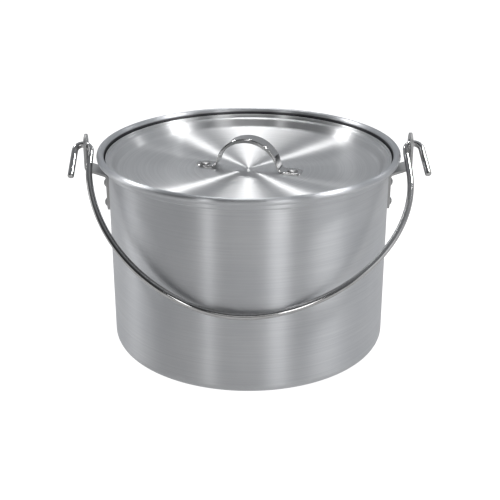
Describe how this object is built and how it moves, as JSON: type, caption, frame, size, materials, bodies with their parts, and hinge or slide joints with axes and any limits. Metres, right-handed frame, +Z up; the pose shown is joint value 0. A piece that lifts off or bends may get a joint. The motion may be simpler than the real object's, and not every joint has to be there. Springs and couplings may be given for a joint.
{
  "type": "camp kettle",
  "caption": "Straight-sided aluminium camp kettle with a rolled rim, a recessed lid with an arched handle, and a wire bail hooked through riveted strap ears.",
  "frame": {"origin": "centre of the pot's base, on its underside", "axes": "+Z up along the pot's axis; +X through the right-hand ear, along the bail's hinge line; the bail hangs down the front, on -Y"},
  "size_m": [0.3316, 0.2798, 0.1997],
  "materials": {
    "pot_aluminium": "satin, spun",
    "lid_aluminium": "spun, bright",
    "ear_aluminium": "matte, as rolled",
    "rivet_aluminium": "satin",
    "bail_steel": "bright plated",
    "handle_steel": "polished, plated"
  },
  "bodies": {
    "pot": {"pot_body": "pot_aluminium", "left_ear": "ear_aluminium", "right_ear": "ear_aluminium", "left_ear_rivet_upper": "rivet_aluminium", "left_ear_rivet_lower": "rivet_aluminium", "right_ear_rivet_upper": "rivet_aluminium", "right_ear_rivet_lower": "rivet_aluminium"},
    "bail": {"bail": "bail_steel"},
    "lid": {"lid": "lid_aluminium", "lid_handle": "handle_steel", "lid_rivet_left": "rivet_aluminium", "lid_rivet_right": "rivet_aluminium"}
  },
  "joints": [
    {"name": "bail_swing", "type": "hinge", "parent": "pot", "child": "bail", "pos_m": [0, 0, 0.1887], "axis": [-1, 0, 0], "range_deg": [0, 258.9]},
    {"name": "lid_lift", "type": "slide", "parent": "pot", "child": "lid", "axis": [0, 0, 1], "range_m": [0, 0.06]}
  ]
}
